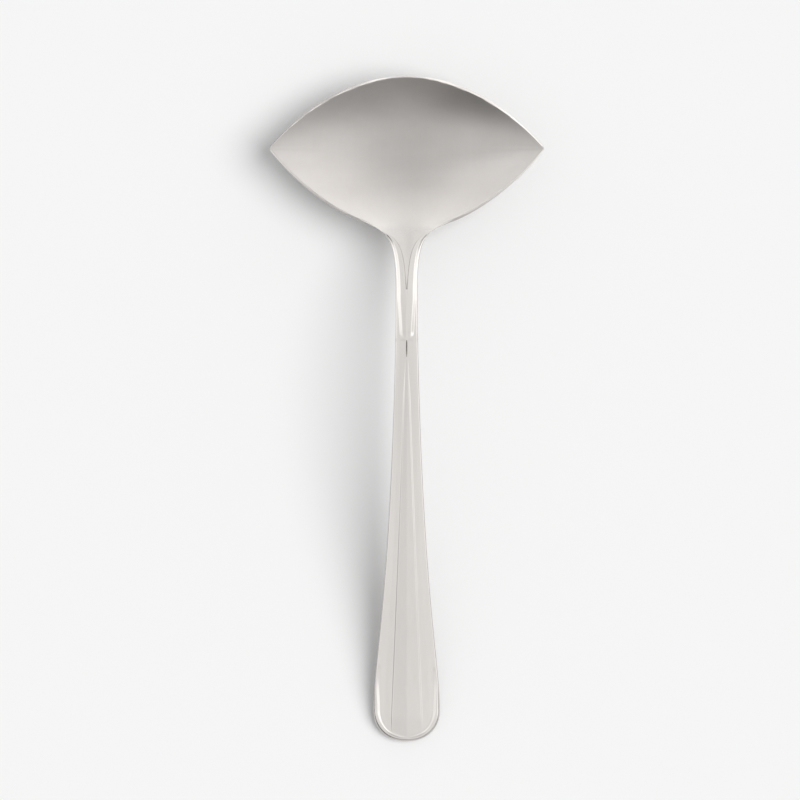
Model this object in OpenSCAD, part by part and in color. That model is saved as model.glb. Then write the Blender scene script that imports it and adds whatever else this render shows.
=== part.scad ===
// Sauce ladle with a double-lipped bowl and a flat handle.
// It lies on its back on a table, z = 0, as it would in a drawer.
// The origin is the flat under the bowl, +Y runs to the front edge and the handle runs along -Y.

/* [Bowl] */
// Width of the bowl from lip to lip
bowl_w = 74; // [66:1:82]
// Reach of the front edge ahead of the lowest point
front_l = 21.5; // [19:0.5:25]
// How far the pouring lips lie ahead of the lowest point
lip_y = 2; // [0:0.5:4]
// Angle between the front edge and the line of the lips, at a lip
lip_front_angle = 48; // [40:1:56]
// Angle between the back edge and the line of the lips, at a lip
lip_back_angle = 52; // [44:1:58]
// Length over which an edge stays straight as it leaves a lip
lip_pull = 14.3; // [10:0.1:18]
// Length of either edge that the rounding of a lip takes up
lip_round = 1.1; // [0.8:0.1:2]
// Length over which the hollow rounds off the crease that runs in from a lip
lip_soft = 10; // [6:0.5:14]
// Half the length over which the front edge stays square to the handle
front_pull = 16.2; // [10:0.2:20]
// Height of the rim over the table, beside the lowest point
rim_h = 11.5; // [9:0.5:14]
// Rise of the rim towards the handle, in degrees
rim_tilt = 1.5; // [0:0.5:5]
// Thickness of the pressed sheet
sheet_t = 1.5; // [1.2:0.1:2]
// Rounding of the rim
rim_r = 0.55; // [0.3:0.05:0.6]
// Depth of the flat polished under the bowl, on which it rests
foot_cut = 0.2; // [0.1:0.05:0.3]

/* [Neck] */
// Width of the bowl where its back edge turns into the neck
shoulder_w = 23.7; // [20:0.5:28]
// Distance from the lowest point back to that turn
shoulder_l = 18; // [16:0.5:20]
// Slant of the outline at that turn, in degrees
shoulder_angle = 20; // [12:1:28]
// Length over which the outline stays straight on either side of that turn
shoulder_pull = 6.9; // [5:0.1:9]
// Length over which the outline straightens as it runs into the stem
neck_pull = 14.5; // [10:0.5:16]
// Depth of the channel between the shoulders, below the rim
channel_h = 0.8; // [0.5:0.05:1.2]
// Distance from the lowest point back to the point of the tongue
tongue_l = 36.2; // [32:0.2:40]
// Half the width of the tongue where its flare ends
tongue_neck = 0.75; // [0.5:0.05:1.2]
// Height of the handle's fork above the point of the tongue
fork_step = 0.3; // [0.1:0.05:0.6]
// Width of the slanted face on which the fork rises beside the tongue
fork_slant = 0.15; // [0.1:0.05:0.4]

/* [Handle] */
// Length of the whole ladle in plan
overall_l = 180; // [160:1:200]
// Width of the stem at its narrowest
stem_w = 5.85; // [5:0.05:7]
// Thickness of the stem
stem_t = 3.6; // [3:0.1:4.4]
// Climb of the stem behind the tongue, in mm for each mm
stem_rise = 0.3; // [0.2:0.01:0.4]
// Fall of the handle as it comes down to the table at its end, in mm for each mm
end_fall = 0.22; // [0.14:0.01:0.3]
// Length of stem behind the tongue that stays at its narrowest
stem_l = 8; // [2:0.5:12]
// Length of the raised rib behind the tongue
rib_l = 13.7; // [10:0.1:16]
// Width of the rib where it leaves the fork
rib_w = 3.7; // [3.2:0.1:4]
// Width of the rib at its nose
nose_w = 2.3; // [1.8:0.1:2.8]
// Length of the rib's rounded nose
nose_l = 2.6; // [1.5:0.1:4]
// Height of the rib
rib_h = 0.55; // [0.3:0.05:0.7]
// Width of the rib's flanks
flank_w = 0.8; // [0.5:0.05:1]
// Greatest width of the grip
grip_w = 18; // [15:0.5:21]
// Growth of the stem's half width towards the grip, over the length of the taper
taper_grow = 0.0125; // [0:0.0005:0.025]
// Thickness of the grip at its end
grip_t = 2.4; // [2:0.1:3]
// Length of the grip's rounded end
end_l = 8.5; // [6:0.5:11]
// Rounding of the handle's long edges
edge_r = 0.45; // [0.3:0.05:0.6]
// Rounding of the edge round the grip's end
end_r = 1; // [0.8:0.1:1.6]

/* [Panel] */
// Greatest width of the raised panel on the grip
panel_w = 8.1; // [6:0.1:9]
// Distance from the end of the grip to the place where the panel is widest
panel_gap = 3.9; // [3:0.1:5]
// Height of the panel over the bevels beside it
panel_h = 0.25; // [0.1:0.05:0.4]
// Height of the panel's middle ridge over its sides
panel_crown = 0.1; // [0.02:0.02:0.2]
// Width of the crease along the panel
crease_w = 0.3; // [0.2:0.05:0.5]
// Gap between the rib's nose and the slit
slit_gap = 0.6; // [0.3:0.1:1.5]
// Length of the slit between the rib and the panel
slit_l = 4; // [2:0.5:6]
// Half the width of the slit, and of the panel where it starts
slit_half = 0.3; // [0.2:0.05:0.5]
// Depth of the slit
slit_h = 0.5; // [0.2:0.05:0.8]
// Length over which the panel rises out of the slit
panel_rise_l = 12; // [6:1:20]
// Fall of the bevels beside the panel, in mm for each mm
bevel_fall = 0.07; // [0.02:0.01:0.12]
// Fall of the bevels along the edges, in mm for each mm
edge_fall = 0.16; // [0.1:0.01:0.24]

/* [Hidden] */

// Facets along each stretch of the outline, and across half the bowl
front_n = 18;
lip_n = 4;
back_n = 16;
shoulder_n = 4;
across_n = 16;
fork_n = 10;
stem_n = 5;
nose_n = 5;
slit_n = 4;
panel_n = 30;
end_n = 10;

// Places along Y
tip_y = front_l - overall_l;
widest_y = tip_y + end_l;
rest_y = tip_y + end_r;
tongue_y = -tongue_l;
taper_y = tongue_y - stem_l;
rib_y = tongue_y - rib_l;
nose_y = rib_y + nose_l;
slit_y = rib_y - slit_gap;
panel_y = slit_y - slit_l;
panel_end_y = tip_y + panel_gap;

// Squareness of the rounded end: 2 is an ellipse
end_power = 2.2;
// Steepness of the bowl's front wall: 2 is a parabola
wall_power = 2.2;
// Growth of the panel's width: 1 is straight
panel_power = 1.15;
// Slope of the channel where the bowl runs into the neck
channel_slope = 0.5;
// Slope of the fork's crest where it leaves the rim
crest_slope = 0.35;
// Share of the neck's outline that belongs to the bowl
joint_t = 0.32;
// Shares of the joint's length at which its flare ends and its straight part starts
flare_share = 0.125;
straight_share = 0.44;
// Shares of the taper's length that pull its outline along at the stem and at the grip
stem_share = 0.7;
grip_share = 0.136;
// Share of the half width at which the bevels of the grip meet
bevel_share = 0.68;
// Share of the edge's rounding that is left at its middle facet
round_share = 0.3;
// Halvings that find a place on a curve, and a length too small to matter
halvings = 26;
near = 0.000001;

// Curves
function bez(t, p) =
    pow(1 - t, 3) * p[0] + 3 * t * pow(1 - t, 2) * p[1] + 3 * t * t * (1 - t) * p[2] + pow(t, 3) * p[3];
function slope(t, p) =
    pow(1 - t, 2) * (p[1] - p[0]) + 2 * t * (1 - t) * (p[2] - p[1]) + t * t * (p[3] - p[2]);
function mix(a, b, t) = a + (b - a) * t;
function clamp(t) = max(0, min(1, t));
function ease(t) = clamp(t) * clamp(t) * (3 - 2 * clamp(t));
function unit(v) = v / norm(v);
// The way outwards, left of the way that the outline is drawn
function outward(v) = unit([-v[1], v[0]]);
// A smooth run of height from z0 at y0 to z1 at y1, with the slopes m0 and m1 at its ends
function run(y, y0, z0, m0, y1, z1, m1) =
    bez((y - y0) / (y1 - y0), [z0, z0 + m0 * (y1 - y0) / 3, z1 - m1 * (y1 - y0) / 3, z1]);
// The place on a falling curve at which it reaches y
function find(y, p, low = 0, high = 1, left = halvings) =
    let (t = (low + high) / 2)
    left == 0 ? t : bez(t, p)[1] > y ? find(y, p, t, high, left - 1) : find(y, p, low, t, left - 1);

// Half outline in plan, from the front edge round a lip to the stem; the lip's corner is rounded later
lip_angle = (lip_front_angle + lip_back_angle) / 2;
lip = [bowl_w / 2 + lip_round * cos(lip_angle) / 2, lip_y];
shoulder = [shoulder_w / 2, -shoulder_l];
shoulder_way = [cos(shoulder_angle), sin(shoulder_angle)];
neck_end = [stem_w / 2, tongue_y];
front_edge = [
    [0, front_l],
    [front_pull, front_l],
    lip + lip_pull * [-cos(lip_front_angle), sin(lip_front_angle)],
    lip
];
back_edge = [
    lip,
    lip - lip_pull * [cos(lip_back_angle), sin(lip_back_angle)],
    shoulder + shoulder_pull * shoulder_way,
    shoulder
];
neck_edge = [shoulder, shoulder - shoulder_pull * shoulder_way, neck_end + [0, neck_pull], neck_end];
corner = bez(joint_t, neck_edge);
// The joint between bowl and handle: from the corner, down both sides of the tongue to its point
joint_l = corner[1] - tongue_y;
joint_edge = [
    corner,
    [tongue_neck, corner[1] - flare_share * joint_l],
    [tongue_neck, corner[1] - straight_share * joint_l],
    [0, tongue_y]
];
// The side of the handle from the stem to the widest place of the grip
taper_l = taper_y - widest_y;
side_edge = [
    [stem_w / 2, taper_y],
    [stem_w / 2 + taper_grow * taper_l, taper_y - stem_share * taper_l],
    [grip_w / 2, widest_y + grip_share * taper_l],
    [grip_w / 2, widest_y]
];
function half_w(y) = y > taper_y ? stem_w / 2 : bez(find(y, side_edge), side_edge)[0];

// Heights of the bowl
function rim_z(y) = rim_h - y * tan(rim_tilt);
channel_z = rim_z(corner[1]) - channel_h;
tongue_z = channel_z + (channel_slope + stem_rise) / 2 * joint_l;
front_in = front_l - rim_r;
floor_z = sheet_t - foot_cut;
function axis_z(y) =
    y > 0 ? floor_z + (rim_z(front_in) - floor_z) * pow(y / front_in, wall_power)
    : y > corner[1] ? run(y, 0, floor_z, 0, corner[1], channel_z, -channel_slope)
    : run(y, corner[1], channel_z, -channel_slope, tongue_y, tongue_z, -stem_rise);
// The crease that runs in from a lip is left only near the rim
lip_share = 1 / (1 + tan(lip_angle) * bowl_w / 2 / lip_soft);
function soft(y) = (norm([y - lip_y, lip_soft]) - abs(y - lip_y)) / lip_soft;
function swell(y) = pow(1 - lip_share * soft(y), -2) - 1;
function hollow_share(y, u) = u * u * (1 + swell(y) * (1 - u * u));
// The tongue's hollow and thickness
cup = channel_h / pow(corner[0], 2);
function tongue_top(p) = axis_z(p[1]) + cup * p[0] * p[0];
function tongue_t(y) = mix(sheet_t, stem_t - fork_step, ease((corner[1] - y) / joint_l));

// Heights of the handle, on its middle line
arch_l = tongue_y - rest_y;
arch_z = tongue_z + fork_step - stem_t;
arch = [arch_z, arch_z + stem_rise * arch_l / 3, end_fall * arch_l / 3, 0];
function under_z(y) =
    y > tongue_y ? axis_z(y) - tongue_t(y)
    : bez(clamp((tongue_y - y) / arch_l), arch);
function bar_t(y) = mix(stem_t, grip_t, ease((rib_y - y) / (rib_y - widest_y)));
function crest_z(y) = y > tongue_y
    ? run(y, corner[1], rim_z(corner[1]), -crest_slope, tongue_y, tongue_z + fork_step, -stem_rise)
    : under_z(y) + bar_t(y) - rib_h * ease((nose_y - y) / nose_l);
function hollow(y) = cup * (1 - ease((tongue_y - y) / rib_l));

// Half width of the rib on the stem and then of the panel on the grip
function raised_w(y) =
    y > rib_y
    ? mix(rib_w, nose_w, clamp((tongue_y - y) / (tongue_y - nose_y))) / 2
        * sqrt(1 - pow(clamp((nose_y - y) / nose_l), 2))
    : mix(slit_half, panel_w / 2, pow(clamp((panel_y - y) / (panel_y - panel_end_y)), panel_power));
function raised_h(y) =
    y > rib_y ? 0 : panel_h * ease((panel_y - y) / panel_rise_l) * ease((y - rest_y) / end_l);
// Depth of the middle line below the rib or the panel: a groove that runs out of the joint, then the slit
function groove(y) =
    y > rib_y ? fork_step * sqrt(1 - clamp((tongue_y - y) / (tongue_y - nose_y)))
    : y < slit_y && y > panel_y ? slit_h * (y - panel_y) / slit_l
    : 0;

// A closed skin over half sections and their mirror images.
// Each section runs from the middle line over the top, round the edge and back along the underside.
// A section that starts off the middle line also gets a wall there.
module skin(rows) {
    n = len(rows[0]);
    points = [for (side = [1, -1]) for (row = rows) for (p = row) [side * p[0], p[1], p[2]]];
    function index(side, j, k) =
        k > 0 && norm(rows[j][k] - rows[j][k - 1]) < near ? index(side, j, k - 1)
        : rows[j][k][0] < near ? j * n + k
        : (side * len(rows) + j) * n + k;
    function on_axis(j, k) = rows[j][k][0] < near;
    function quad(side, j, k, next) =
        let (a = index(side, j, k), b = index(side, j, next))
        let (c = index(side, j + 1, k), d = index(side, j + 1, next))
        side == 0 ? [[a, b, d], [a, d, c]] : [[b, a, d], [d, a, c]];
    faces = [
        for (side = [0, 1])
        for (j = [0 : len(rows) - 2])
        for (k = [0 : n - 1])
        if (k < n - 1 || !(on_axis(j, 0) && on_axis(j + 1, 0)))
        for (f = quad(side, j, k, (k + 1) % n))
        if (f[0] != f[1] && f[1] != f[2] && f[2] != f[0]) f
    ];
    polyhedron(points, faces, convexity = 8);
}

// Bowl: places on its outline, each with the inset of its rounded rim
lip_cut = lip_round / lip_pull / 3;
lip_start = bez(1 - lip_cut, front_edge);
lip_end = bez(lip_cut, back_edge);
function lip_place(t) = mix(mix(lip_start, lip, t), mix(lip, lip_end, t), t);
function inset_at(t, edge, r) = r * outward(slope(t, edge));
bowl_rim = concat(
    [
        for (i = [0 : front_n - 1])
        let (t = (1 - lip_cut) * i / front_n)
        [bez(t, front_edge), inset_at(t, front_edge, rim_r)]
    ],
    [
        for (i = [0 : lip_n])
        let (t = i / lip_n)
        [lip_place(t), rim_r * outward(mix(lip - lip_start, lip_end - lip, t))]
    ],
    [
        for (i = [1 : back_n])
        let (t = mix(lip_cut, 1, i / back_n))
        [bez(t, back_edge), inset_at(t, back_edge, rim_r)]
    ],
    [
        for (i = [1 : shoulder_n])
        let (t = joint_t * i / shoulder_n)
        [bez(t, neck_edge), inset_at(t, neck_edge, rim_r * (1 - i / shoulder_n))]
    ]
);
bowl_tongue = [for (i = [1 : fork_n]) bez(i / fork_n, joint_edge)];

// A section of the bowl: top, rim and underside
function bowl_row(place, in, edge_z, t) =
    let (x = place[0] - in[0], y = place[1] - in[1], z = axis_z(y))
    let (top = [for (i = [0 : across_n]) z + (edge_z - z) * hollow_share(y, i / across_n)])
    let (low = [for (h = top) max(0, h - t)])
    concat(
        [for (i = [0 : across_n]) [x * i / across_n, y, top[i]]],
        [[place[0], place[1], (top[across_n] + low[across_n]) / 2]],
        [for (i = [across_n : -1 : 0]) [x * i / across_n, y, low[i]]]
    );

module bowl() {
    color("silver")
    skin(concat(
        [for (r = bowl_rim) bowl_row(r[0], r[1], rim_z(r[0][1] - r[1][1]), sheet_t)],
        [for (p = bowl_tongue) bowl_row(p, [0, 0], tongue_top(p), tongue_t(p[1]))]
    ));
}

// Handle: places on its outline, each with its way outwards and the place that faces it
// on the joint or on the middle line
fork_places = [
    for (i = [1 : fork_n])
    let (t = mix(joint_t, 1, i / fork_n))
    [bez(t, neck_edge), outward(slope(t, neck_edge)), bez(i / fork_n, joint_edge)]
];
bar_ys = concat(
    [for (i = [1 : stem_n]) mix(tongue_y, nose_y, i / stem_n)],
    [for (i = [1 : nose_n]) nose_y - nose_l * sin(90 * i / nose_n)],
    [for (i = [0 : slit_n]) mix(slit_y, panel_y, i / slit_n)],
    [for (i = [1 : panel_n]) mix(panel_y, widest_y, i / panel_n)]
);
bar_places = [
    for (y = bar_ys)
    let (t = find(y, side_edge), grow = y > taper_y ? [0, -1] : slope(t, side_edge))
    [[half_w(y), y], outward(grow), [0, y]]
];
end_places = [
    for (i = [1 : end_n])
    let (a = 90 * i / end_n, c = pow(cos(a), 2 / end_power), s = pow(sin(a), 2 / end_power))
    let (way = unit([pow(c, end_power - 1) / grip_w * 2, -pow(s, end_power - 1) / end_l]))
    [[grip_w / 2 * c, widest_y - end_l * s], way, [0, widest_y - end_l * s]]
];

// A section of the handle: rib or panel, flank or crease, two bevels, rounded edge and underside
function bar_row(place, way, inner) =
    let (fork = place[1] > tongue_y, rib = place[1] > rib_y)
    let (full = min(1, 2 * (place[0] - inner[0]) / stem_w))
    let (r = mix(edge_r, end_r, ease((widest_y - place[1]) / end_l + 1)) * (place[1] > widest_y ? full : 1))
    let (edge = place - r * way, bend = place - round_share * r * way)
    let (w = max(0, edge[0] - inner[0]), y = edge[1], in_y = fork ? inner[1] : y)
    let (step_w = (rib ? flank_w : crease_w) * full)
    let (ridge = rib ? w : min(w, bevel_share * place[0]))
    let (p = max(0, min(raised_w(y) * (fork ? full : 1), ridge - step_w)))
    let (x3 = min(p + step_w, w), x4 = rib ? (x3 + w) / 2 : max(x3, ridge))
    let (up = raised_h(y) * clamp(p / slit_half), crown = rib ? 0 : panel_crown * 2 * p / panel_w)
    let (h3 = rib ? -rib_h * ease((y - rib_y) / nose_l) * full : 0)
    let (h4 = h3 - bevel_fall * (x4 - x3), h5 = h4 - edge_fall * (w - x4))
    let (cut = fork ? crest_z(inner[1]) - tongue_top(inner) : groove(y))
    let (q = rib ? min(fork_slant * full, p / 2) : p / 2)
    let (ys = function (x) w < near ? y : mix(in_y, y, x / w))
    let (top = function (x, h) [inner[0] + x, ys(x), crest_z(ys(x)) + h])
    let (low = function (x) [inner[0] + x, ys(x), under_z(ys(x)) + hollow(ys(x)) * pow(inner[0] + x, 2)])
    let (t5 = top(w, h5), b5 = low(w), rz = min(r, (t5[2] - b5[2]) / 2))
    concat(
        [top(0, up + crown - cut), top(q, up + crown / 2), top(p, up), top(x3, h3), top(x4, h4), t5],
        [[bend[0], bend[1], t5[2] - round_share * rz], [place[0], place[1], t5[2] - rz]],
        [[place[0], place[1], b5[2] + rz], [bend[0], bend[1], b5[2] + round_share * rz]],
        [b5, low(w / 2), low(0)]
    );

// The two prongs of the fork start in the corners of the joint, as thick as the sheet
corner_row = concat(
    [for (k = [0 : 6]) [corner[0], corner[1], rim_z(corner[1])]],
    [for (k = [7 : 12]) [corner[0], corner[1], rim_z(corner[1]) - sheet_t]]
);

module handle() {
    color("gainsboro")
    skin(concat(
        [corner_row],
        [for (p = concat(fork_places, bar_places, end_places)) bar_row(p[0], p[1], p[2])]
    ));
}

bowl();
handle();
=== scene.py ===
# %% [markdown]
# # A sauce ladle
#
# The ladle is two pieces of stainless steel. The bowl is pressed from sheet, with a pouring lip on each
# side and a tongue behind. The handle is a forged bar whose fork takes that tongue, so the two meet in a
# V at the neck. The construction model already fixes where everything is, and this lesson gives both
# pieces their finer shape and their finish.

# %% Load the frame
import math
from functools import cache

import bmesh
import bpy
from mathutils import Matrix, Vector


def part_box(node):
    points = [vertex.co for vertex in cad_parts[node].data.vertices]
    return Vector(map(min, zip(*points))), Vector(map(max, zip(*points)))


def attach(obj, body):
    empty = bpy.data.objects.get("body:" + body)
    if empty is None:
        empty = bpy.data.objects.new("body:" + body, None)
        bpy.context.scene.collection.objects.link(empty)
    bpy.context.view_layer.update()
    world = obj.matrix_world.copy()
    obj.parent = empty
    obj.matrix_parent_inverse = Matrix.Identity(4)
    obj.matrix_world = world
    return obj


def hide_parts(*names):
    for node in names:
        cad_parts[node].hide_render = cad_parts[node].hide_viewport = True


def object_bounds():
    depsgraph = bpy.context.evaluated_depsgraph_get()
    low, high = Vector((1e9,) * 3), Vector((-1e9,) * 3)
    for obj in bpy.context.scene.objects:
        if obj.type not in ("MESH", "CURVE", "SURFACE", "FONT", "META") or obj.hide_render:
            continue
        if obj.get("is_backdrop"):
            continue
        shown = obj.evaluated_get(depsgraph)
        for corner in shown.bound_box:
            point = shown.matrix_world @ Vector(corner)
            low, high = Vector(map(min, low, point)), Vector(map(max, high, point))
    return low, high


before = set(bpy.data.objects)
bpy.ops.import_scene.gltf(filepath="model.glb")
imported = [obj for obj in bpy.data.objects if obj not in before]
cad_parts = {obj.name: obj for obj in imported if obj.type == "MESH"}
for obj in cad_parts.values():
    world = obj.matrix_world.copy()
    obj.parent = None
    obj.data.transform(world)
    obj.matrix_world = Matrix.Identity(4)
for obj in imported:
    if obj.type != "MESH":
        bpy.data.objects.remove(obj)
cad_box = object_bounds()
MM = 0.001


def in_mm(*sizes):
    return [round(size / MM, 2) for size in sizes]


print("construction box in mm:", [in_mm(*end) for end in cad_box])

# %% [markdown]
# ## Sizes
#
# The large sizes could be typed in, but then the meshes would part from the construction as soon as it
# changes. They are read from the boxes of its two nodes instead. Each smaller size stands in the step
# that first needs it.

# %% Sizes from the frame
bowl_low, bowl_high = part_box("bowl")
handle_low, handle_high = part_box("handle")
LIP_X = bowl_high.x
FRONT_Y = bowl_high.y
TONGUE_Y = bowl_low.y
TIP_Y = handle_low.y
GRIP_HALF = handle_high.x
print("lip, front, tongue, tip and grip in mm:", in_mm(LIP_X, FRONT_Y, TONGUE_Y, TIP_Y, GRIP_HALF))

# %% [markdown]
# ## Curves
#
# A ladle's outline has hardly a straight line or an arc. It could be traced point by point, but such a
# list is hard to change. Here nearly every outline and height is a cubic curve between known ends, as it
# would be laid out on paper with French curves, and a few small functions are enough for all of them.

# %% Mixing and easing
def mix(a, b, t):
    return a + (b - a) * t


def clamp(t):
    return max(0.0, min(1.0, t))


def ease(t):
    return clamp(t) ** 2 * (3 - 2 * clamp(t))


print("an ease at its quarters:", [ease(i / 4) for i in range(5)])

# %% Cubic curves
HALVINGS = 40


def bez(t, p):
    return (1 - t) ** 3 * p[0] + 3 * t * (1 - t) ** 2 * p[1] + 3 * t * t * (1 - t) * p[2] + t ** 3 * p[3]


def slope(t, p):
    return (1 - t) ** 2 * (p[1] - p[0]) + 2 * t * (1 - t) * (p[2] - p[1]) + t * t * (p[3] - p[2])


def outward(way):
    return Vector((-way.y, way.x)).normalized()


def run(y, y0, z0, m0, y1, z1, m1):
    """Height at y on a smooth run from z0 to z1 that has the slopes m0 and m1 at its ends."""
    return bez((y - y0) / (y1 - y0), [z0, z0 + m0 * (y1 - y0) / 3, z1 - m1 * (y1 - y0) / 3, z1])


def find(value, curve, axis):
    """The place on a curve at which its coordinate reaches value."""
    low, high = 0.0, 1.0
    rising = curve[3][axis] > curve[0][axis]
    for _ in range(HALVINGS):
        middle = (low + high) / 2
        if (bez(middle, curve)[axis] < value) == rising:
            low = middle
        else:
            high = middle
    return (low + high) / 2


print("a run from 0 to 1 that is level at both ends, at its middle:", run(0.5, 0, 0, 0, 1, 1, 0))

# %% [markdown]
# ## Outline of the bowl
#
# Seen from above, the bowl is a lens with a pouring lip at each end. Only half of it is drawn, as three
# curves: round the front to the lip, back to the shoulder, and into the neck. Each curve is set by its
# ends and by how far it follows the directions in which it leaves them, so a lip keeps its angle when
# the bowl gets wider.

# %% Edges of the bowl
LIP_Y = 2 * MM
LIP_FRONT_ANGLE = math.radians(48)
LIP_BACK_ANGLE = math.radians(52)
LIP_ANGLE = (LIP_FRONT_ANGLE + LIP_BACK_ANGLE) / 2
LIP_PULL = 14.3 * MM
LIP_ROUND = 1.1 * MM
FRONT_PULL = 16.2 * MM
SHOULDER = Vector((11.85, -18)) * MM
SHOULDER_ANGLE = math.radians(20)
SHOULDER_PULL = 6.9 * MM
NECK_PULL = 14.5 * MM
STEM_HALF = 2.925 * MM

lip = Vector((LIP_X + LIP_ROUND * math.cos(LIP_ANGLE) / 2, LIP_Y))
front_way = Vector((-math.cos(LIP_FRONT_ANGLE), math.sin(LIP_FRONT_ANGLE)))
back_way = Vector((-math.cos(LIP_BACK_ANGLE), -math.sin(LIP_BACK_ANGLE)))
shoulder_way = Vector((math.cos(SHOULDER_ANGLE), math.sin(SHOULDER_ANGLE))) * SHOULDER_PULL
neck_end = Vector((STEM_HALF, TONGUE_Y))
front_edge = [Vector((0, FRONT_Y)), Vector((FRONT_PULL, FRONT_Y)), lip + LIP_PULL * front_way, lip]
back_edge = [lip, lip + LIP_PULL * back_way, SHOULDER + shoulder_way, SHOULDER]
neck_edge = [SHOULDER, SHOULDER - shoulder_way, neck_end + Vector((0, NECK_PULL)), neck_end]
print("sharp lip in mm:", in_mm(*lip))

# %% [markdown]
# ## Lips and joint
#
# A real lip is blunt, because a sharp one would cut. The two edges are stopped short of the lip, and two
# small bends join them. The joint is the V at the neck. It leaves the outline at the corner where the
# bowl ends and the handle begins, swings in to a narrow tongue and closes to a point. Both pieces take
# it from this one curve, so that they meet without a gap.

# %% Round the lips
def rounded(a, b, c):
    """The bend from a to c that a corner at b pulls out, as a cubic curve."""
    return [a, mix(a, b, 2 / 3), mix(c, b, 2 / 3), c]


lip_cut = LIP_ROUND / LIP_PULL / 3
lip_start, lip_end = bez(1 - lip_cut, front_edge), bez(lip_cut, back_edge)
lip_tip = (lip_start + 2 * lip + lip_end) / 4
lip_front = rounded(lip_start, (lip_start + lip) / 2, lip_tip)
lip_back = rounded(lip_tip, (lip + lip_end) / 2, lip_end)
print("tip of a lip in mm:", in_mm(*lip_tip))

# %% Joint in the neck
JOINT_T = 0.32
TONGUE_NECK = 0.75 * MM
JOINT_TURN = 0.125
JOINT_RUN = 0.44

corner = bez(JOINT_T, neck_edge)
joint_l = corner.y - TONGUE_Y
joint_edge = [
    corner,
    Vector((TONGUE_NECK, corner.y - JOINT_TURN * joint_l)),
    Vector((TONGUE_NECK, corner.y - JOINT_RUN * joint_l)),
    Vector((0, TONGUE_Y)),
]
print("corner of the joint in mm:", in_mm(*corner))

# %% [markdown]
# ## Depth of the bowl
#
# A press sinks the dish: flat at the bottom, steep at the front, and drawn into a channel towards the
# neck. A sculpted mesh could look like that, but its depth would be hard to set. Here one function gives
# the height along the middle line, and across it the dish rises to the rim as a parabola does, a little
# fuller near the lips.

# %% Rim and middle line
RIM_H = 11.5 * MM
RIM_SLOPE = math.tan(math.radians(1.5))
SHEET_T = 1.5 * MM
FOOT_CUT = 0.2 * MM
WALL_POWER = 2.2
CHANNEL_H = 0.8 * MM
CHANNEL_SLOPE = 0.5
STEM_RISE = 0.3


def rim_z(y):
    return RIM_H - y * RIM_SLOPE


channel_z = rim_z(corner.y) - CHANNEL_H
tongue_z = channel_z + (CHANNEL_SLOPE + STEM_RISE) / 2 * joint_l
floor_z = SHEET_T - FOOT_CUT


def axis_z(y):
    """Height of the bowl's upper face on its middle line."""
    if y > 0:
        return floor_z + (rim_z(FRONT_Y) - floor_z) * (y / FRONT_Y) ** WALL_POWER
    if y > corner.y:
        return run(y, 0, floor_z, 0, corner.y, channel_z, -CHANNEL_SLOPE)
    return run(y, corner.y, channel_z, -CHANNEL_SLOPE, TONGUE_Y, tongue_z, -STEM_RISE)


print("depth of the dish and height of the tongue's end in mm:", in_mm(rim_z(0) - axis_z(0), tongue_z))

# %% Across the dish
LIP_SOFT = 10 * MM
lip_share = 1 / (1 + math.tan(LIP_ANGLE) * LIP_X / LIP_SOFT)
cup = CHANNEL_H / corner.x ** 2
half_curves = [
    (front_edge, lip_start.y), (lip_front, lip_tip.y), (lip_back, lip_end.y),
    (back_edge, SHOULDER.y), (neck_edge, corner.y), (joint_edge, TONGUE_Y),
]


def hollow_share(y, u):
    """How far up from the middle line to the rim the dish is, at the share u of its half width."""
    soft = (math.hypot(y - LIP_Y, LIP_SOFT) - abs(y - LIP_Y)) / LIP_SOFT
    swell = (1 - lip_share * soft) ** -2 - 1
    return u * u * (1 + swell * (1 - u * u))


def bowl_half(y):
    """Half the width of the bowl or of its tongue."""
    curve = next((c for c, end in half_curves if y > end), joint_edge)
    return bez(find(y, curve, 1), curve).x


def dish_z(x, y):
    """Height of the bowl's upper face."""
    middle, half = axis_z(y), bowl_half(y)
    side = rim_z(y) if y > corner.y else middle + cup * half * half
    return mix(middle, side, hollow_share(y, min(1, abs(x) / half if half > 0 else 1)))


print("height halfway to a lip in mm:", in_mm(dish_z(LIP_X / 2, LIP_Y)))

# %% [markdown]
# ## Cut edge of the rim
#
# The sheet's edge is cut and polished after pressing, so a narrow band slopes outwards all round the
# rim. A bevel could make it, but where the bevel is kept from overlapping, the smallest square limits
# its width, and the squares get very small in the lips. The band is worked into the heights instead:
# each column of the mesh knows where it meets the outline, how wide the band is there and how far it
# falls.

# %% Reach and fall of the rim
RIM_FALL = 0.55
FRONT_FALL = 0.95
RIM_PROBE = 0.8 * MM
RIM_FADE = 6 * MM
RIM_THIN = 0.3 * MM
RIM_WIDEN = 16 * MM
RIM_STEEP = 0.5
RIM_STEEPEN = 0.4
LEAST_TURN = 0.05


@cache
def column(x):
    """For the back and the front end of a column: its place, and the reach and fall of the rim there."""
    ahead = front_edge if x < lip_start.x else lip_front
    behind = neck_edge if x < SHOULDER.x else back_edge if x < lip_end.x else lip_back
    ends = []
    for curve in (behind, ahead):
        if curve is behind and x <= corner.x:
            ends.append((corner.y, 0.0, 0.0))
            continue
        t = find(x, curve, 0)
        place, out = bez(t, curve), outward(slope(t, curve))
        inner = place - RIM_PROBE * out
        steep = max(0.0, rim_z(place.y) - dish_z(inner.x, inner.y)) / RIM_PROBE
        share = ease((steep - RIM_STEEP) / RIM_STEEPEN) * ease(x / RIM_WIDEN)
        reach = mix(RIM_THIN, SHEET_T * steep / (1 + steep * steep), share)
        reach *= ease((x - corner.x) / RIM_FADE) if curve is behind else 1
        fall = RIM_FALL if curve is behind else mix(RIM_FALL, FRONT_FALL, ease(x / RIM_WIDEN))
        ends.append((place.y, reach / max(abs(out.y), LEAST_TURN), reach * (steep + fall)))
    return ends


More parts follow.
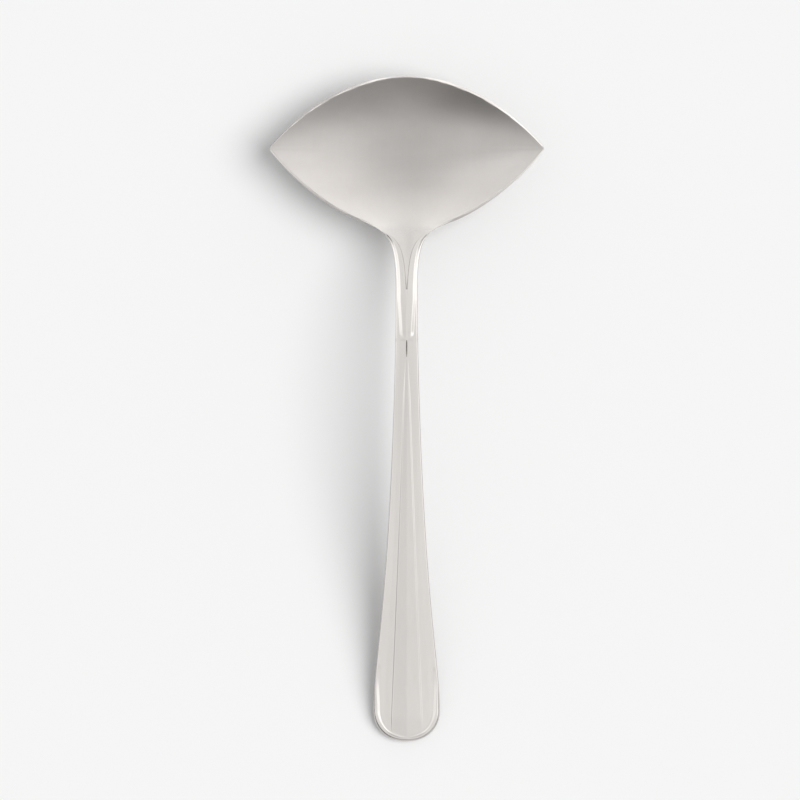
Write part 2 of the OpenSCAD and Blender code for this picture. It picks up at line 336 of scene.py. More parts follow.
def cut_fall(x, y):
    """How far the cut edge lies below the dish at a place: nothing except near the outline."""
    (back, back_reach, back_fall), (front, front_reach, front_fall) = column(abs(x))
    rims = [(front - y, front_reach, front_fall), (y - back, back_reach, back_fall)]
    return max(fall * clamp(1 - gap / reach) if reach > 0 else 0.0 for gap, reach, fall in rims)


print("reach of the front rim halfway to a lip in mm:", in_mm(column(LIP_X / 2)[1][1]))

# %% [markdown]
# ## Bowl
#
# A press sinks the bowl from one flat blank, so the mesh starts as one flat grid. Its columns are cut to
# run from the back edge to the front edge, close up in each lip, and sink to the depth of the dish. The
# middle of the back edge is then drawn out into the tongue. A copy of that sheet, one thickness lower,
# makes the underside, and a bridge joins the two along the rim. Solidify could thicken it as well, but
# not by an amount that grows along the tongue.

# %% Columns of the blank
NECK_COLUMNS, WING_COLUMNS = 8, 64
COLUMNS = 2 * (NECK_COLUMNS + WING_COLUMNS)


def column_x(i):
    """Columns are even across the neck, and close up towards the lips."""
    k = abs(i - COLUMNS // 2)
    if k <= NECK_COLUMNS:
        x = corner.x * k / NECK_COLUMNS
    else:
        x = mix(corner.x, lip_tip.x, math.sin((k - NECK_COLUMNS) / WING_COLUMNS * math.pi / 2))
    return math.copysign(x, i - COLUMNS // 2)


print(COLUMNS, "columns, the outermost lines at x in mm:", in_mm(column_x(0), column_x(COLUMNS)))

# %% Sink the dish
DISH_ROWS = 80


def shaped_grid(bm, columns, rows, place):
    """A grid of columns by rows squares, each corner put where place(column, row) says."""
    made = bmesh.ops.create_grid(bm, x_segments=columns, y_segments=rows, size=1)["verts"]
    for v in made:
        v.co = place(round((v.co.x + 1) / 2 * columns), round((v.co.y + 1) / 2 * rows))


def in_dish(i, j):
    x = column_x(i)
    (back, _, _), (front, _, _) = column(abs(x))
    y = mix(back, front, 0.5 - 0.5 * math.cos(math.pi * j / DISH_ROWS))
    return Vector((x, y, dish_z(x, y) - cut_fall(x, y)))


bm = bmesh.new()
shaped_grid(bm, COLUMNS, DISH_ROWS, in_dish)
print("dish", len(bm.verts), "corners")

# %% Draw out the tongue
TONGUE_ROWS = 28
BOWL_MERGE = 0.004 * MM


def in_tongue(i, j):
    place = bez(1 - j / TONGUE_ROWS, joint_edge)
    x = place.x * (i - NECK_COLUMNS) / NECK_COLUMNS
    return Vector((x, place.y, dish_z(x, place.y)))


shaped_grid(bm, 2 * NECK_COLUMNS, TONGUE_ROWS, in_tongue)
bmesh.ops.remove_doubles(bm, verts=bm.verts[:], dist=BOWL_MERGE)
bmesh.ops.recalc_face_normals(bm, faces=bm.faces[:])
print("dish and tongue", len(bm.verts), "corners")

# %% Give the sheet its thickness
STEM_T = 3.6 * MM
FORK_STEP = 0.3 * MM


def tongue_t(y):
    """Thickness of the tongue, which grows from the sheet's to nearly the stem's."""
    return mix(SHEET_T, STEM_T - FORK_STEP, ease((corner.y - y) / joint_l))


top_edges = [e for e in bm.edges if e.is_boundary]
copy = bmesh.ops.duplicate(bm, geom=bm.verts[:] + bm.edges[:] + bm.faces[:])["geom"]
for v in (g for g in copy if isinstance(g, bmesh.types.BMVert)):
    thickness = SHEET_T if v.co.y > corner.y else tongue_t(v.co.y)
    v.co.z = max(0.0, dish_z(v.co.x, v.co.y) - thickness)
low_edges = [g for g in copy if isinstance(g, bmesh.types.BMEdge) and g.is_boundary]
bmesh.ops.bridge_loops(bm, edges=top_edges + low_edges)
bmesh.ops.recalc_face_normals(bm, faces=bm.faces[:])
print("bowl", len(bm.verts), "corners")

# %% [markdown]
# ## Satin face of the bowl
#
# Only the inside of the bowl is brushed, up to the cut edge. Two materials could divide it, but the line
# between them would follow the squares of the mesh. A number at each corner of the mesh is softer, and
# the steel below reads it. The finished mesh becomes an object that stands for the bowl of the frame.

# %% Mark the satin face
FACE_DEPTH = 0.05 * MM
EDGE_DEPTH = 0.02 * MM
inside = bm.verts.layers.float.new("inside")
for v in bm.verts:
    on_top = v.co.z > dish_z(v.co.x, v.co.y) - FACE_DEPTH
    v[inside] = float(on_top and cut_fall(v.co.x, v.co.y) < EDGE_DEPTH)
print("corners on the satin face", sum(v[inside] > 0 for v in bm.verts))

# %% From mesh to object
SHARP_ANGLE = math.radians(40)


def smooth_object(name, bm):
    """The object of a finished bmesh, shaded smooth except along edges that turn sharply."""
    bmesh.ops.recalc_face_normals(bm, faces=bm.faces[:])
    mesh = bpy.data.meshes.new(name)
    bm.to_mesh(mesh)
    bm.free()
    mesh.shade_smooth()
    mesh.set_sharp_from_angle(angle=SHARP_ANGLE)
    made = bpy.data.objects.new(name, mesh)
    bpy.context.scene.collection.objects.link(made)
    print(name, len(mesh.vertices), "corners", len(mesh.polygons), "faces")
    return made


bowl = smooth_object("bowl_pressed", bm)
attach(bowl, "root")
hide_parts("bowl")

# %% [markdown]
# ## Outline and arch of the handle
#
# The handle leaves the neck as a slim stem and widens to the grip. It is forged between dies, so its
# outline and its arch are smooth from end to end. Bending a flat bar with a modifier would do for the
# arch, but not for a thickness that changes as well, so the underside has a curve of its own, and the
# crest stands on it by the bar's thickness.

# %% Side of the handle
END_L = 8.5 * MM
TAPER_START = 8 * MM
TAPER_Y = TONGUE_Y - TAPER_START
WIDEST_Y = TIP_Y + END_L
SIDE_SPREAD = 0.0125
SIDE_RUN = 0.7
SIDE_TURN = 0.136

taper_l = TAPER_Y - WIDEST_Y
side_edge = [
    Vector((STEM_HALF, TAPER_Y)),
    Vector((STEM_HALF + SIDE_SPREAD * taper_l, TAPER_Y - SIDE_RUN * taper_l)),
    Vector((GRIP_HALF, WIDEST_Y + SIDE_TURN * taper_l)),
    Vector((GRIP_HALF, WIDEST_Y)),
]
print("length of the taper in mm:", in_mm(taper_l))

# %% Underside and crest
END_R = 1.0 * MM
REST_Y = TIP_Y + END_R
END_FALL = 0.22
CREST_SLOPE = 0.35
GRIP_T = 2.4 * MM
RIB_Y = TONGUE_Y - 13.7 * MM
RIB_H = 0.55 * MM
NOSE_L = 2.6 * MM
NOSE_Y = RIB_Y + NOSE_L

arch_l = TONGUE_Y - REST_Y
arch_z = tongue_z + FORK_STEP - STEM_T
arch = [arch_z, arch_z + STEM_RISE * arch_l / 3, END_FALL * arch_l / 3, 0]


def under_z(y):
    """Height of the underside on the middle line."""
    if y > TONGUE_Y:
        return axis_z(y) - tongue_t(y)
    return bez(clamp((TONGUE_Y - y) / arch_l), arch)


def crest_z(y):
    """Height of the upper face on the middle line, before the crown, groove, slit and panel."""
    if y > TONGUE_Y:
        return run(y, corner.y, rim_z(corner.y), -CREST_SLOPE, TONGUE_Y, tongue_z + FORK_STEP, -STEM_RISE)
    bar_t = mix(STEM_T, GRIP_T, ease((RIB_Y - y) / (RIB_Y - WIDEST_Y)))
    return under_z(y) + bar_t - RIB_H * ease((NOSE_Y - y) / NOSE_L)


def hollow(y):
    """How the underside is cupped: as the bowl's channel is at the joint, and flat from the rib's end."""
    return cup * (1 - ease((TONGUE_Y - y) / (TONGUE_Y - RIB_Y)))


print("crest over the end of the joint in mm:", in_mm(crest_z(TONGUE_Y)))

# %% [markdown]
# ## Relief of the handle
#
# The dies leave a rib on the stem that ends in a rounded nose, a short slit behind it, and a raised panel
# on the grip that widens towards the end, inside a thin border. Displacement could give these, but only
# as fine as the mesh is. Functions of the place along the handle give the width and the height of each
# form instead, and the sections below have a point at every fold.

# %% Rib, slit and panel
RIB_HALF, NOSE_HALF = 1.85 * MM, 1.15 * MM
GROOVE_H = 0.05 * MM
SLIT_Y = RIB_Y - 0.6 * MM
SLIT_HALF, SLIT_H, SLIT_POWER = 0.3 * MM, 0.5 * MM, 0.4
PANEL_Y = SLIT_Y - 4 * MM
PANEL_END_Y = TIP_Y + 3.9 * MM
PANEL_HALF, PANEL_H, PANEL_POWER = 4.05 * MM, 0.25 * MM, 1.15
PANEL_RISE_L, PANEL_RUN = 12 * MM, 6.5 * MM


def raised_half(y):
    """Half the width of the rib on the stem, and then of the panel on the grip."""
    if y > RIB_Y:
        rib = mix(RIB_HALF, NOSE_HALF, clamp((TONGUE_Y - y) / (TONGUE_Y - NOSE_Y)))
        return rib * math.sqrt(1 - clamp((NOSE_Y - y) / NOSE_L) ** 2)
    return mix(SLIT_HALF, PANEL_HALF, clamp((PANEL_Y - y) / (PANEL_Y - PANEL_END_Y)) ** PANEL_POWER)


def raised_h(y):
    """Height of the panel, which rises out of the slit and runs out before the end."""
    return PANEL_H * ease((PANEL_Y - y) / PANEL_RISE_L) * ease((y - REST_Y) / PANEL_RUN)


def groove(y):
    """Depth of the middle line: a groove that runs out of the joint, and then the slit."""
    if y > RIB_Y:
        return GROOVE_H * (1 - clamp((TONGUE_Y - y) / (TONGUE_Y - NOSE_Y)))
    return SLIT_H * ((y - PANEL_Y) / (SLIT_Y - PANEL_Y)) ** SLIT_POWER if PANEL_Y < y <= SLIT_Y else 0.0


print("the panel begins and ends at y in mm:", in_mm(PANEL_Y, PANEL_END_Y))

# %% Border round the end
BORDER_SIDE, BORDER_END = 0.85 * MM, 0.4 * MM
BORDER_RISE, BORDER_STEEP = 0.57, 0.7
BORDER_Y = WIDEST_Y + 15 * MM
BORDER_L = 10 * MM


def border_w(y):
    """Width of the border, which narrows round the end."""
    return mix(BORDER_SIDE, BORDER_END, ease((WIDEST_Y - y) / END_L))


def border_z(x, y, side):
    """Rise of the thin border round the end of the grip, at x on a section that ends at side."""
    gap = side - x
    if y < WIDEST_Y:
        share = math.hypot(x / (GRIP_HALF - END_R), (WIDEST_Y - y) / (END_L - END_R))
        gap = math.hypot(x, WIDEST_Y - y) * (1 / share - 1)
    wide = border_w(y)
    high = BORDER_RISE * wide * (1 + BORDER_STEEP * clamp((WIDEST_Y - y) / END_L))
    return high * ease((BORDER_Y - y) / BORDER_L) * clamp(1 - gap / wide)


print("rise of the border at the widest place in mm:", in_mm(border_z(GRIP_HALF, WIDEST_Y, GRIP_HALF)))

# %% [markdown]
# ## Stations along the handle
#
# The bar changes all along, so it is built like a boat, from sections at stations. Even steps would be
# too coarse for the nose and the slit, so each stretch has its own number of them. A station is a place
# on the outline, the way outwards there, and the place that faces it: on the joint in the fork, and on
# the middle line after it.

# %% Stations in the fork
FORK_ROWS = 28
stations = []
for i in range(1, FORK_ROWS + 1):
    t = mix(JOINT_T, 1, i / FORK_ROWS)
    stations.append((bez(t, neck_edge), outward(slope(t, neck_edge)), bez(i / FORK_ROWS, joint_edge)))
print("stations in the fork", len(stations))

# %% Stations on the stem and the grip
STEM_ROWS, NOSE_ROWS, SLIT_ROWS, PANEL_ROWS = 14, 8, 8, 130
SEAM_END = 0.1 * MM
bar_ys = [mix(TONGUE_Y - SEAM_END, NOSE_Y, i / STEM_ROWS) for i in range(STEM_ROWS + 1)]
bar_ys += [NOSE_Y - NOSE_L * math.sin(i / NOSE_ROWS * math.pi / 2) for i in range(1, NOSE_ROWS + 1)]
bar_ys += [mix(PANEL_Y, SLIT_Y, (1 - i / SLIT_ROWS) ** 2) for i in range(SLIT_ROWS + 1)]
bar_ys += [mix(PANEL_Y, WIDEST_Y, i / PANEL_ROWS) for i in range(1, PANEL_ROWS + 1)]
for y in bar_ys:
    t = find(y, side_edge, 1)
    place = Vector((STEM_HALF, y)) if y > TAPER_Y else bez(t, side_edge)
    way = Vector((1, 0)) if y > TAPER_Y else outward(slope(t, side_edge))
    stations.append((place, way, Vector((0, y))))
print("stations as far as the widest place", len(stations))

# %% Stations round the end
END_ROWS = 30
END_POWER = 2.2
for i in range(1, END_ROWS + 1):
    a = i / END_ROWS * math.pi / 2
    c, s = max(0.0, math.cos(a)) ** (2 / END_POWER), math.sin(a) ** (2 / END_POWER)
    if i == END_ROWS:
        c, s = 0.0, 1.0
    way = Vector((c ** (END_POWER - 1) / GRIP_HALF, -s ** (END_POWER - 1) / END_L)).normalized()
    place = Vector((GRIP_HALF * c, WIDEST_Y - END_L * s))
    stations.append((place, way, Vector((0, place.y))))
print("stations as far as the tip", len(stations))

# %% [markdown]
# ## Half a section
#
# Across the handle, the rib or the panel has a flat top, a short slope beside it, and two bevels that
# fall to the edge. Knots stand where these fold. A few points between each pair of knots keep the folds
# crisp under smooth shading, and an arc above and one below round the edge. Sharp edges could be marked
# instead, but forged folds are slightly soft.

# %% Knots across the rib
RIB_CROWN = 0.08 * MM
FLANK_W = 0.8 * MM
FORK_SLANT = 0.2 * MM
SEAM_H = 0.15 * MM
SEAM_L = 3 * MM


def rib_knots(edge, inner, width, full, fork):
    """Distances from the inner line and heights of the rib and its flank, and the ridge of the bevels."""
    flank = FLANK_W * full
    flat = max(0.0, min(raised_half(edge.y) * (full if fork else 1), width - flank))
    foot = min(flat + flank, width)
    foot_h = -RIB_H * ease((edge.y - RIB_Y) / NOSE_L) * full
    crown = RIB_CROWN * full
    cut = groove(edge.y)
    if fork:
        seam = SEAM_H * ease((corner.y - inner.y) / SEAM_L)
        cut = crest_z(inner.y) - axis_z(inner.y) - cup * inner.x ** 2 + seam
    slant = min(FORK_SLANT * full, flat / 2)
    return [(0, crown - cut), (slant, crown / 2), (flat, 0), (foot, foot_h)], (foot + width) / 2


rib_row, _ = rib_knots(Vector((STEM_HALF, NOSE_Y)), Vector((0, NOSE_Y)), STEM_HALF, 1, False)
print("knots across the rib at its nose in mm:", [in_mm(*knot) for knot in rib_row])

# %% Knots across the panel
PANEL_CROWN = 0.1 * MM
CREASE_W = 0.38 * MM
CREASE_LEAST = 0.05
BEVEL_SHARE = 0.68


def panel_knots(edge, width, side):
    """Distances from the middle line and heights of the panel and its crease, and the bevels' ridge."""
    crease = CREASE_W * max(CREASE_LEAST, raised_h(edge.y) / PANEL_H)
    ridge = min(width, BEVEL_SHARE * side)
    flat = max(0.0, min(raised_half(edge.y), ridge - crease))
    foot = min(flat + crease, width)
    up = raised_h(edge.y) * clamp(flat / SLIT_HALF)
    crown = PANEL_CROWN * flat / PANEL_HALF
    knots = [(0, up + crown - groove(edge.y)), (flat / 2, up + crown / 2), (flat, up), (foot, 0)]
    return knots, max(foot, ridge)


panel_row, _ = panel_knots(Vector((GRIP_HALF, WIDEST_Y)), GRIP_HALF - END_R, GRIP_HALF)
print("knots across the panel at the widest place in mm:", [in_mm(*knot) for knot in panel_row])

# %% Points of half a section
SIDE_R = 0.45 * MM
BEVEL_FALL, EDGE_FALL = 0.07, 0.16
LEAST_W = 0.001 * MM
ARC = 6
BAND_POINTS = (0, 0.12, 0.5, 0.88)
UNDER_POINTS = (0.75, 0.5, 0.25, 0)


def section(place, way, inner):
    """Half a section of the handle: upper face, rounded edge and underside."""
    fork, rib = place.y > TONGUE_Y, place.y > RIB_Y
    full = min(1, (place.x - inner.x) / STEM_HALF)
    r = mix(SIDE_R, END_R, ease((WIDEST_Y - place.y) / END_L + 1)) * (full if place.y > WIDEST_Y else 1)
    edge = place - r * way
    width = max(0.0, edge.x - inner.x)
    knots, ridge = rib_knots(edge, inner, width, full, fork) if rib else panel_knots(edge, width, place.x)
    foot, foot_h = knots[-1]
    ridge_h = foot_h - BEVEL_FALL * (ridge - foot)
    border = max(ridge, width - border_w(edge.y))
    knots += [(x, ridge_h - EDGE_FALL * (x - ridge)) for x in (ridge, border, width)]

    def at(x):
        near_y = inner.y if fork else edge.y
        return mix(near_y, edge.y, x / width) if width > LEAST_W else edge.y

    def top(x, h):
        rise = 0 if rib else border_z(x, at(x), width)
        return Vector((inner.x + x, at(x), crest_z(at(x)) + h + rise))

    def low(x):
        return Vector((inner.x + x, at(x), under_z(at(x)) + hollow(at(x)) * (inner.x + x) ** 2))

    points = []
    for (x0, h0), (x1, h1) in zip(knots, knots[1:]):
        points += [top(mix(x0, x1, u), mix(h0, h1, u)) for u in BAND_POINTS]
    high, under = top(*knots[-1]), low(width)
    drop = min(r, (high.z - under.z) / 2)
    turns = [i / ARC * math.pi / 2 for i in range(ARC + 1)]
    arc = [(edge + r * math.sin(a) * way, drop * (1 - math.cos(a))) for a in turns]
    points += [Vector((plan.x, plan.y, high.z - fall)) for plan, fall in arc]
    points += [Vector((plan.x, plan.y, under.z + fall)) for plan, fall in reversed(arc)]
    return points + [low(width * u) for u in UNDER_POINTS]


print("points in half a section", len(section(*stations[0])))

# %% All sections
sections = [section(*station) for station in stations]
last = len(sections[0]) - 1
turn = last - len(UNDER_POINTS) - (ARC + 1)
# each prong starts at the corner of the joint, as an upright edge that is as high as the sheet is thick
corner_high = Vector((corner.x, corner.y, rim_z(corner.y)))
corner_low = corner_high - Vector((0, 0, SHEET_T))
sections.insert(0, [corner_high] * (turn + 1) + [corner_low] * (last - turn))
print(len(sections), "sections of", last + 1, "points")

# %% [markdown]
# ## Handle
#
# A sweep along the sections makes one side of the handle, from a flat grid again, and a second, narrow
# grid closes the side of the fork that faces the tongue. A mirror gives the other half. Building only
# half keeps both sides alike, and merging the doubles closes the middle line and the end.

# %% Sweep, wall and mirror
HANDLE_MERGE = 0.002 * MM
LEAST_EDGE = 0.001 * MM
bm = bmesh.new()
shaped_grid(bm, len(sections) - 1, last, lambda i, j: sections[i][j])
shaped_grid(bm, FORK_ROWS, 1, lambda i, j: sections[i][j * last])
bmesh.ops.mirror(bm, geom=bm.verts[:] + bm.edges[:] + bm.faces[:], axis="X", merge_dist=HANDLE_MERGE)
bmesh.ops.remove_doubles(bm, verts=bm.verts[:], dist=HANDLE_MERGE)
bmesh.ops.dissolve_degenerate(bm, edges=bm.edges[:], dist=LEAST_EDGE)
handle = smooth_object("handle_forged", bm)
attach(handle, "root")
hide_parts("handle")

# %% [markdown]
# ## Shader sums
#
# A finish is a sum of patterns. In Blender each plus or times is a node, and a tree of such nodes is hard
# to read in a script. One small class around a socket lets the sums below be written as sums.

# %% Shader sums
class Shade:
    """A socket of a shader tree that can be added, subtracted and multiplied."""

    def __init__(self, tree, socket=None):
        self.tree, self.socket = tree, socket

    def node(self, kind, values=None, out=0, **settings):
        """The output of a new node with these settings and these values or links."""
        made = self.tree.nodes.new(kind)
        for name, value in settings.items():
            setattr(made, name, value)
        for name, value in (values or {}).items():
            if isinstance(value, Shade):
                self.tree.links.new(value.socket, made.inputs[name])
            else:
                made.inputs[name].default_value = value
        return Shade(self.tree, made.outputs[out])

    def sum(self, operation, a, b):
        return self.node("ShaderNodeMath", {0: a, 1: b}, operation=operation)

    def __add__(self, other):
        return self.sum("ADD", self, other)

    def __sub__(self, other):
        return self.sum("SUBTRACT", self, other)

    def __rsub__(self, other):
        return self.sum("SUBTRACT", other, self)

    def __mul__(self, other):
        return self.sum("MULTIPLY", self, other)

    __radd__, __rmul__ = __add__, __mul__


print("sums that may start with a number:", [name for name in vars(Shade) if name.startswith("__r")])

# %% [markdown]
# ## Patterns in the steel
#
# Both pieces are the same warm grey stainless steel. One flat colour would look like plastic, so noise
# varies it: broad smudges, fine hairlines and longer streaks along the ladle, brush marks across the
# bowl, and blotches on its satin face. Painted textures could do this too, but noise in Object
# coordinates needs no file and has no seams.

# %% Patterns in the steel
# each pattern has its scale, its stretch along x, y and z, and its detail
PATTERNS = {
    "smudge": (55.0, (1.0, 0.6, 1.0), 3.0),
    "hairline": (900.0, (1.0, 0.03, 1.0), 2.0),
    "streak": (350.0, (1.0, 0.02, 1.0), 2.0),
    "brush": (1500.0, (0.05, 1.0, 1.0), 2.0),
    "blotch": (170.0, (0.5, 1.0, 1.0), 3.0),
}


def pattern(start, name):
    scale, stretch, detail = PATTERNS[name]
    place = start.node("ShaderNodeTexCoord", out="Object")
    spread = start.node("ShaderNodeVectorMath", {0: place, 1: stretch}, operation="MULTIPLY")
    return start.node("ShaderNodeTexNoise", {"Vector": spread, "Scale": scale, "Detail": detail})


print("patterns", list(PATTERNS))

# %% [markdown]
# ## Satin share
#
# The brush stops at the neck, where its marks end in a ragged line, and they get denser towards the
# middle of the bowl. A plain fade along the bowl would look printed, so the blotches shift the line.
# Colour and gloss have a share each, because the gloss is mostly lost where the colour only begins to
# change.

# %% Satin share
RAGGED = 4 * MM
SATIN_EDGE = 1 * MM
SATIN_FULL_Y = -3 * MM
COLOUR_START, GLOSS_START = 0.2, 0.6


def satin_shares(start, blotch):
    """How far the colour and how far the gloss are satin, on the face that is marked as inside."""
    y = start.node("ShaderNodeSeparateXYZ", {0: start.node("ShaderNodeTexCoord", out="Object")}, out="Y")
    ragged = y + RAGGED * (blotch - 0.5)
    line = {"Value": ragged, "From Min": corner.y - SATIN_EDGE, "From Max": corner.y + SATIN_EDGE}
    ends = start.node("ShaderNodeMapRange", line)
    fade = {"Value": y, "From Min": corner.y, "From Max": SATIN_FULL_Y}
    fades = start.node("ShaderNodeMapRange", fade)
    inside = start.node("ShaderNodeAttribute", attribute_name="inside", out="Fac")
    colour = inside * (COLOUR_START * ends + (1 - COLOUR_START) * fades)
    gloss = inside * ends * (GLOSS_START + (1 - GLOSS_START) * fades)
    return colour, gloss


print("the satin begins and is full at y in mm:", in_mm(corner.y, SATIN_FULL_Y))

# %% [markdown]
# ## Steel
#
# Polished steel is nearly a mirror, and satin steel spreads what it reflects. Two separate materials
# would do, but they would show a hard line inside the bowl. So one function makes both finishes, and
# the satin is added only for the bowl. The patterns darken the colour a little, roughen the polish and
# lift a fine grain.

# %% Steel
POLISHED = (0.655, 0.631, 0.61, 1)
SATIN = (0.475, 0.456, 0.442, 1)
DULL = (0.84, 0.83, 0.82, 1)
POLISHED_ROUGH, SATIN_ROUGH = 0.13, 0.33
SMUDGE_ROUGH, HAIRLINE_ROUGH, BRUSH_ROUGH = 0.05, 0.03, 0.05
SMUDGE_TONE, HAIRLINE_TONE, STREAK_TONE, BLOTCH_TONE = 0.2, 0.2, 0.25, 0.8
HAIRLINE_GRAIN, GRAIN_SHOWS, GRAIN_H = 0.15, 0.15, 0.02 * MM


def steel(name, has_satin):
    """Polished stainless steel, with a satin face where the mesh is marked as inside."""
    made = bpy.data.materials.new(name)
    made.use_nodes = True
    start = Shade(made.node_tree)
    smudge, hairline, streak = (pattern(start, kind) for kind in ("smudge", "hairline", "streak"))
    rough = POLISHED_ROUGH + SMUDGE_ROUGH * smudge + HAIRLINE_ROUGH * hairline
    tone = SMUDGE_TONE * smudge + HAIRLINE_TONE * hairline + STREAK_TONE * streak
    grain = HAIRLINE_GRAIN * hairline
    bright = POLISHED
    if has_satin:
        brush, blotch = pattern(start, "brush"), pattern(start, "blotch")
        satin, matt = satin_shares(start, blotch)
        satin_rough = SATIN_ROUGH + SMUDGE_ROUGH * smudge + BRUSH_ROUGH * brush
        rough = rough + matt * (satin_rough - rough)
        tone = tone + satin * (BLOTCH_TONE * blotch - STREAK_TONE * streak)
        grain = grain + satin * brush
        steels = {"Factor": satin, "A": POLISHED, "B": SATIN}
        bright = start.node("ShaderNodeMix", steels, data_type="RGBA", out=2)
    tones = {"Factor": tone, "A": bright, "B": DULL}
    colour = start.node("ShaderNodeMix", tones, data_type="RGBA", blend_type="MULTIPLY", out=2)
    marks = {"Height": grain, "Strength": GRAIN_SHOWS, "Distance": GRAIN_H}
    bump = start.node("ShaderNodeBump", marks, out="Normal")
    shader = made.node_tree.nodes["Principled BSDF"]
    shader.inputs["Metallic"].default_value = 1.0
    for socket, value in (("Base Color", colour), ("Roughness", rough), ("Normal", bump)):
        made.node_tree.links.new(value.socket, shader.inputs[socket])
    return made


bowl.data.materials.append(steel("satin_steel", True))
handle.data.materials.append(steel("polished_steel", False))
print("materials", [m.name for m in bpy.data.materials])

# %% [markdown]
# ## Floor
#
# The ladle lies on a pale, matt table that takes its shadow. A single large square is enough, since the
# long lens sees only a small part of it. It is marked as stage, so that it isn't counted as a piece.

# %% Floor
FLOOR_HALF = 1.5
FLOOR_GREY, FLOOR_ROUGH = 0.9, 0.9
bm = bmesh.new()
bmesh.ops.create_grid(bm, x_segments=1, y_segments=1, size=FLOOR_HALF)
floor = smooth_object("floor", bm)
pale = bpy.data.materials.new("floor_pale")
pale.use_nodes = True
matt_paint = pale.node_tree.nodes["Principled BSDF"].inputs
matt_paint["Base Color"].default_value = (FLOOR_GREY, FLOOR_GREY, FLOOR_GREY, 1)
matt_paint["Roughness"].default_value = FLOOR_ROUGH
matt_paint["Specular IOR Level"].default_value = 0.0
floor.data.materials.append(pale)
floor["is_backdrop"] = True

# %% [markdown]
# ## World
#
# Polished steel shows the room around it, so half of its look isn't in the metal. Lamps with shapes could
# stand in the room, but they would light the floor too. Here the world itself is the room, as a sum of
# soft-edged parts: bright at the horizon, with a box at the right and two ahead of the lips, and darker
# towards the grip's end, near the ground, at the sides and ahead. Diffuse rays see one plain level, so
# that the parts show in the steel alone.

# %% Directions in the room
world = bpy.data.worlds.new("studio")
bpy.context.scene.world = world
world.use_nodes = True
sky = Shade(world.node_tree)
sight = sky.node("ShaderNodeTexCoord", out="Generated")
right, ahead, up = (sky.node("ShaderNodeSeparateXYZ", {0: sight}, out=axis) for axis in "XYZ")
left, behind, aside = 0 - right, 0 - ahead, right * right
horizon = 1 - up * up
print("nodes for the directions", len(world.node_tree.nodes))

# %% Light in the room
CEILING = 0.93
HORIZON_WIDE, HORIZON_NARROW = 0.22, 0.42


def soft(value, start, end):
    """A soft edge: 0 where a sum is at start, and 1 where it is at end."""
    limits = {"Value": value, "From Min": min(start, end), "From Max": max(start, end)}
    rise = sky.node("ShaderNodeMapRange", limits, interpolation_type="SMOOTHSTEP")
    return rise if start < end else 1 - rise


def part(light, *edges):
    """Light that a part of the room gives or takes, inside its soft edges."""
    for edge in edges:
        light = light * soft(*edge)
    return light


ceiling = CEILING + part(0.135, (right, -0.05, 0.05)) + part(0.13, (left, 0.07, 0.13))
walls = HORIZON_WIDE * horizon + HORIZON_NARROW * horizon * horizon
right_box = part(0.45, (right, 0.45, 0.65), (right, 0.95, 0.8), (behind, 0.55, 0.3))
lip_boxes = part(0.15, (aside, 0.1, 0.36), (ahead, 0.1, 0.4), (up, 0.3, 0.55))
lit = ceiling + walls + right_box + lip_boxes
print("nodes with the light parts", len(world.node_tree.nodes))

# %% Shade in the room
GRIP_SHADE, GAP_LOW = 1.18, 0.05
BEND_MIDDLE, BEND_ASIDE, BEND_RIGHT = 0.92, 0.42, 0.04
FRONT_SHADE = 0.3

gap = part(GAP_LOW + part(0.32, (up, 0.1, 0.45)), (aside, 0.09, 0.0))
bent = (BEND_MIDDLE + BEND_ASIDE * aside - BEND_RIGHT * right) * behind
grip_wall = part(GRIP_SHADE - gap, (bent, 0.43, 0.95))
ground = part(0.55, (aside, 0.3, 0.6), (up, 0.34, 0.12))
left_wall = part(0.9, (left, 0.1, 0.6), (behind, -0.3, 0.2), (up, 0.6, 0.25))
right_wall = part(0.72, (right, 0.65, 0.85), (behind, -0.4, -0.1), (up, 0.6, 0.25))
front = FRONT_SHADE - part(0.26, (right, 0.1, 0.5)) + part(0.4, (left, 0.1, 0.5))
front_wall = part(front, (ahead, 0.6, 0.85), (up, 0.25, 0.5))
# low at the front left a dark band shows in the rim's cut edge, and the wall above it is lit again
band = part(0.9, (up, 0.18, 0.1)) - part(0.3, (up, 0.18, 0.28), (up, 0.75, 0.5))
left_front = part(band, (left, 0.15, 0.45), (ahead, 0.2, 0.5))
shaded = grip_wall + ground + left_wall + right_wall + front_wall + left_front
print("nodes with the dark parts", len(world.node_tree.nodes))

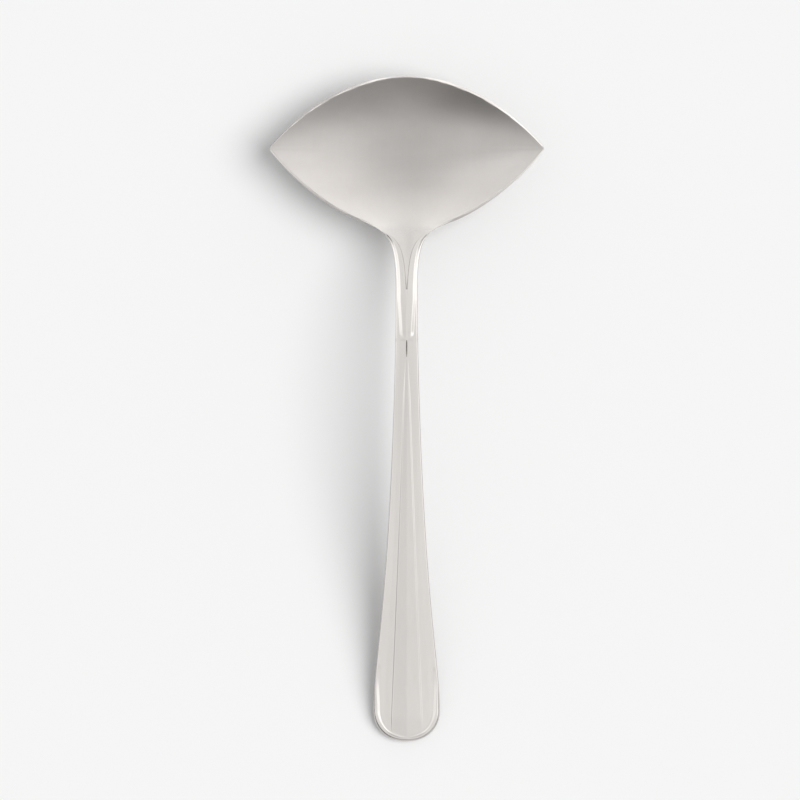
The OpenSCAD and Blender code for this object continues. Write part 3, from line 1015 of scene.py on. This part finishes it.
# %% Level of the world
DARKEST = 0.12
DIFFUSE_LEVEL = 0.49
room = sky.sum("MAXIMUM", lit - shaded, DARKEST)
diffuse = sky.node("ShaderNodeLightPath", out="Is Diffuse Ray")
level = room + diffuse * (DIFFUSE_LEVEL - room)
background = world.node_tree.nodes["Background"]
world.node_tree.links.new(level.socket, background.inputs["Strength"])
background.inputs["Color"].default_value = (1, 1, 1, 1)
print("nodes in the world", len(world.node_tree.nodes))

# %% [markdown]
# ## Lamp and camera
#
# The shadow lies to the left and is soft, as from a broad window at the right. An area lamp could be that
# window, but its light would weaken with distance. A sun with a wide angle is even, and it is kept out of
# reflections, where the world has its own box. The camera looks straight down through a long lens, so
# that what lies higher hardly looks larger.

# %% Lamp
LAMP_POWER = 1.9
LAMP_ANGLE = math.radians(48)
LAMP_FROM = Vector((1.0, 0.05, 1.43))
lamp_data = bpy.data.lights.new("window", "SUN")
lamp_data.energy = LAMP_POWER
lamp_data.angle = LAMP_ANGLE
lamp = bpy.data.objects.new("window", lamp_data)
lamp.rotation_euler = LAMP_FROM.to_track_quat("Z", "Y").to_euler()
lamp.visible_glossy = False
bpy.context.scene.collection.objects.link(lamp)
print("lamp", round(math.degrees(math.atan2(LAMP_FROM.z, LAMP_FROM.xy.length))), "degrees above the floor")

# %% Camera
IMAGE_PX, PX_PER_M = 800, 3700
LENS_MM, SENSOR_MM = 280, 36
VIEW_X, VIEW_Y, VIEW_Z = -1.8 * MM, -65.9 * MM, 8 * MM
camera_data = bpy.data.cameras.new("camera")
camera_data.lens = LENS_MM
camera_data.sensor_width = SENSOR_MM
distance = IMAGE_PX / PX_PER_M * LENS_MM / SENSOR_MM
camera = bpy.data.objects.new("camera", camera_data)
camera.location = (VIEW_X, VIEW_Y, distance + VIEW_Z)
bpy.context.scene.collection.objects.link(camera)
bpy.context.scene.camera = camera
bpy.context.scene.view_settings.view_transform = "Standard"
print("camera in mm:", in_mm(*camera.location))

# %% [markdown]
# ## Size at the end
#
# A dressed piece may be finer than the construction, but it keeps its size. Both boxes are written down,
# so that they can be compared.

# %% Size of the shown pieces
new_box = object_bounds()
print("shown box in mm:", [in_mm(*end) for end in new_box])
